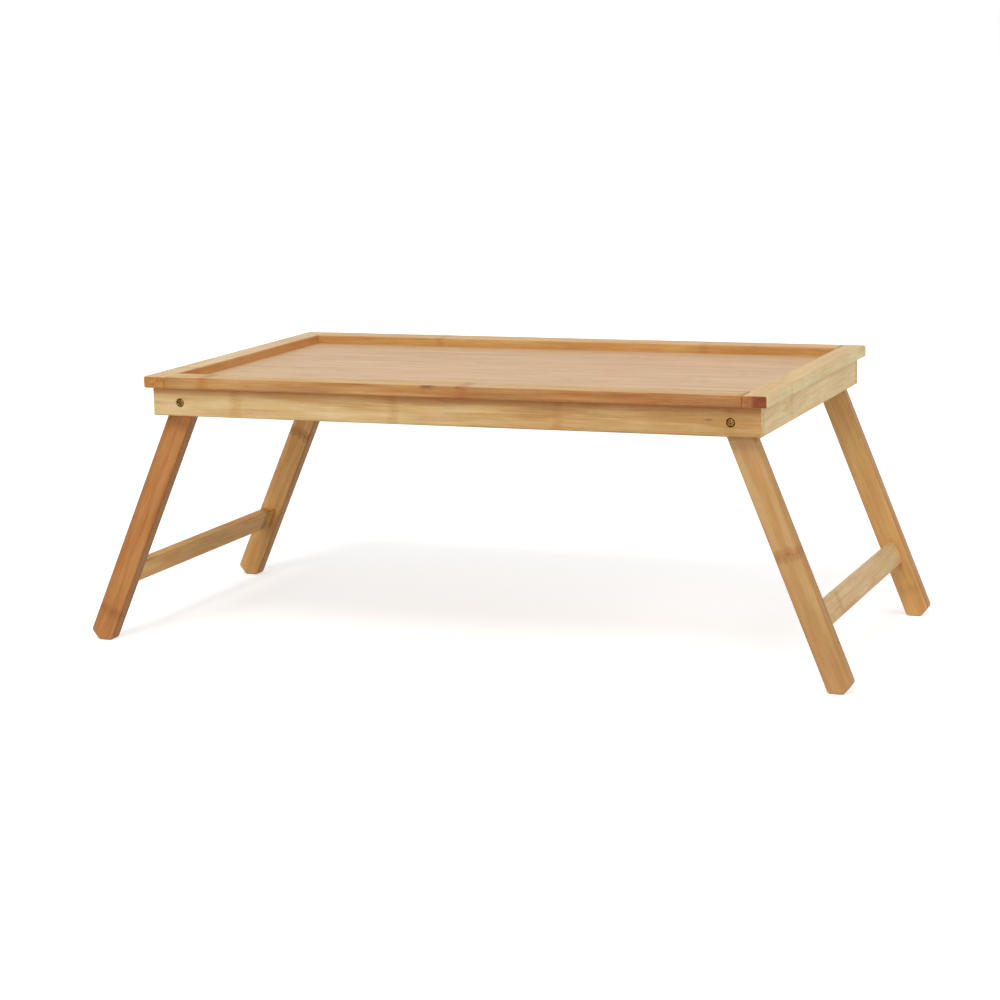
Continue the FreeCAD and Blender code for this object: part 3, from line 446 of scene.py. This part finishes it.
lacquered_cane("rail_right", ALONG_Y_UPRIGHT, **END_RAIL_CANE,
               pale=(245, 222, 168), deep=(228, 198, 140), joint=(186, 148, 86),
               first=-60.6, spacing=230.0, seed=53.0, joints=0.3)

# ---------------------------------------------------------------------------
# Legs
# Two pairs of flat legs of laminated cane, round at the pivot and cut level at
# the foot. Each turns on a screw, and was sawn from a board of another tone. The
# back legs are also painted paler than they are, as painted light against the
# tray's shadow on them.
# ---------------------------------------------------------------------------

LEFT_SPLAY, RIGHT_SPLAY = 24.0, 22.0
LEFT_LEG = (-90, 0, 90 + LEFT_SPLAY)
RIGHT_LEG = (-90, 0, 90 - RIGHT_SPLAY)
LEG_CANE = {"strip": 21.0, "layer": 6.2}

lacquered_cane("leg_left_front", LEFT_LEG, **LEG_CANE,
               pale=(193, 136, 80), deep=(166, 106, 54), joint=(140, 80, 40),
               narrow=((172, 118, 52), (146, 94, 38)), first=-84.0, spacing=170.0, seed=47.0,
               joints=0.5, tones=0.9)
# Painted light: this leg's colours are paler, and its drift makes it paler still towards its foot, against
# the tray's shadow.
lacquered_cane("leg_left_back", LEFT_LEG, **LEG_CANE,
               pale=(225, 179, 116), deep=(197, 146, 87), joint=(146, 92, 42),
               narrow=((204, 148, 74), (178, 120, 56)), first=-30.0, spacing=150.0, seed=60.0,
               drift=-0.0045)
lacquered_cane("leg_right_front", RIGHT_LEG, **LEG_CANE,
               pale=(196, 156, 105), deep=(175, 128, 76), joint=(156, 98, 48),
               narrow=((196, 152, 86), (172, 124, 62)), first=3.0, spacing=170.0, seed=69.0)
# Painted light: this leg's colours are paler than the front legs' colours, against the tray's shadow.
lacquered_cane("leg_right_back", RIGHT_LEG, **LEG_CANE,
               pale=(230, 188, 124), deep=(206, 153, 91), joint=(156, 100, 50),
               narrow=((198, 152, 90), (176, 124, 66)), first=88.0, spacing=240.0, seed=61.0,
               joints=0.25)

# ---------------------------------------------------------------------------
# Stretchers
# One flat board of laminated cane between the legs of each frame, let into them
# with a glued tenon at each end.
# ---------------------------------------------------------------------------

LEFT_STRETCHER = (0, 90 - LEFT_SPLAY, -90)
RIGHT_STRETCHER = (0, 90 + RIGHT_SPLAY, -90)
STRETCHER_CANE = {"strip": 20.0, "layer": 7.5}

lacquered_cane("stretcher_left", LEFT_STRETCHER, **STRETCHER_CANE,
               pale=(242, 193, 113), deep=(209, 153, 81), joint=(150, 88, 38),
               first=112.0, spacing=260.0, seed=76.0)
lacquered_cane("stretcher_right", RIGHT_STRETCHER, **STRETCHER_CANE,
               pale=(233, 204, 155), deep=(210, 174, 120), joint=(166, 120, 62),
               first=-70.8, spacing=230.0, seed=74.0, joints=0.5)

# ---------------------------------------------------------------------------
# Pivot screws, washers and lock nuts
# Bronzed pan-head screws sunk in the rails, with zinc-plated washers and lock
# nuts inside the legs, tight enough to hold a leg frame where it is put.
# ---------------------------------------------------------------------------

METAL_ROUGHNESS, MORE_WHERE_DULL = 0.32, 0.18
SCRATCH_RELIEF = {"Strength": 0.25, "Distance": 0.00005}


def plated_metal(name, bright, dull):
    """Plated steel: a bright and a dull tone in fine blotches, rougher where it is dull, and scratched."""
    material, tree, shader = new_material(name)
    calc, noise, between, tint = tools_for(tree)
    source = put(tree, "ShaderNodeTexCoord").outputs["Object"]
    place = vector_maths(tree, "MULTIPLY", source, (MM_PER_METRE,) * 3)
    blotch = between(noise(place, (0.9, 0.9, 0.9), 4.0, 0.65), 0.38, 0.66)
    scratch = noise(place, (6.0, 6.0, 6.0), 3.0, 0.6)
    rough = calc("MULTIPLY_ADD", blotch, MORE_WHERE_DULL, METAL_ROUGHNESS)
    bump = put(tree, "ShaderNodeBump", {"Height": scratch, **SCRATCH_RELIEF})
    tree.links.new(tint(blotch, paint(*bright), paint(*dull)), shader.inputs["Base Color"])
    tree.links.new(rough, shader.inputs["Roughness"])
    tree.links.new(bump.outputs["Normal"], shader.inputs["Normal"])
    shader.inputs["Metallic"].default_value = 1.0
    return material


bronzed = plated_metal("bronzed_steel", bright=(148, 110, 60), dull=(84, 56, 28))
zinc = plated_metal("zinc_plate", bright=(188, 188, 182), dull=(150, 150, 142))
for side in ("left", "right"):
    for end in ("front", "back"):
        dress(f"pivot_screw_{side}_{end}", bronzed)
        for piece in ("spacer_washer", "nut_washer", "lock_nut"):
            dress(f"{piece}_{side}_{end}", zinc)

# ---------------------------------------------------------------------------
# Studio
# A plain white floor that runs out of sight, a white surround, and three soft
# lamps in front, above and at the right. None of it is part of the object.
# ---------------------------------------------------------------------------

FLOOR_REACH, FLOOR_DROP = 30.0, 0.0002

floor_mesh = bpy.data.meshes.new("floor")
signs = np.array([(-1, -1), (1, -1), (1, 1), (-1, 1)])
corners = np.column_stack((FLOOR_REACH * signs, np.full(4, -FLOOR_DROP)))
floor_mesh.from_pydata(corners.tolist(), [], [(0, 1, 2, 3)])
floor = bpy.data.objects.new("floor", floor_mesh)
bpy.context.scene.collection.objects.link(floor)


def seen_directly(tree):
    """1 for rays from the camera and for what mirrors or glass show, otherwise 0."""
    path = put(tree, "ShaderNodeLightPath").outputs
    shown = maths(tree, "MAXIMUM", path["Is Camera Ray"], path["Is Glossy Ray"])
    return maths(tree, "MAXIMUM", shown, path["Is Transmission Ray"])


# Seen directly, the floor glows up to white away from the object, and keeps its shadow near it.
floor_paint, tree, shader = new_material("floor_paint")
shader.inputs["Base Color"].default_value = (0.70, 0.70, 0.695, 1)
shader.inputs["Roughness"].default_value = 0.9
shader.inputs["Specular IOR Level"].default_value = 0.1
shader.inputs["Emission Color"].default_value = (1, 1, 1, 1)
place = put(tree, "ShaderNodeTexCoord").outputs["Object"]
glow = ramp(tree, vector_maths(tree, "LENGTH", place), 0.5, 2.5, 0.60, 1.0)
tree.links.new(maths(tree, "MULTIPLY", seen_directly(tree), glow), shader.inputs["Emission Strength"])
floor_mesh.materials.append(floor_paint)

# The surround is white where it is seen, and a softer light on the object.
SURROUND_LIGHT = 0.42

world = bpy.data.worlds.new("surround")
bpy.context.scene.world = world
world.use_nodes = True
tree = world.node_tree
background = tree.nodes["Background"]
background.inputs["Color"].default_value = (1, 1, 1, 1)
strength = ramp(tree, seen_directly(tree), 0, 1, SURROUND_LIGHT, 1.0, smooth=False)
tree.links.new(strength, background.inputs["Strength"])


def soft_lamp(name, place, aim, size, power, colour):
    """A square lamp that faces a point. Places and size are in metres and power is in watts."""
    light = bpy.data.lights.new(name, "AREA")
    light.shape = "SQUARE"
    light.size = size
    light.energy = power
    light.color = colour
    lamp = bpy.data.objects.new(name, light)
    lamp.location = place
    lamp.rotation_euler = (Vector(aim) - Vector(place)).to_track_quat("-Z", "Y").to_euler()
    bpy.context.scene.collection.objects.link(lamp)


soft_lamp("above_front", (0.25, -1.5, 2.2), (0, 0, 0.2), 0.9, 27, (1.0, 0.985, 0.96))
soft_lamp("low_front", (-0.5, -2.6, 1.0), (0, 0, 0.1), 1.2, 18, (1.0, 0.985, 0.96))
soft_lamp("right_side", (2.0, -0.6, 1.5), (0, 0, 0.15), 1.2, 12, (1.0, 0.98, 0.95))

# ---------------------------------------------------------------------------
# Camera
# A long lens from the right and a little above, level to about a degree. Its
# place and turn were fitted to the corners of the tray and its feet.
# ---------------------------------------------------------------------------

camera = bpy.data.objects.new("camera", bpy.data.cameras.new("camera"))
camera.data.sensor_width = 36.0
camera.data.lens = 91.97
camera.location = (0.73625, -1.88309, 0.47661)
camera.rotation_euler = [math.radians(a) for a in (79.569, 1.2575, 21.380)]
camera.data.clip_start, camera.data.clip_end = 0.05, 200
bpy.context.scene.collection.objects.link(camera)
bpy.context.scene.camera = camera
bpy.context.scene.view_settings.view_transform = "Standard"
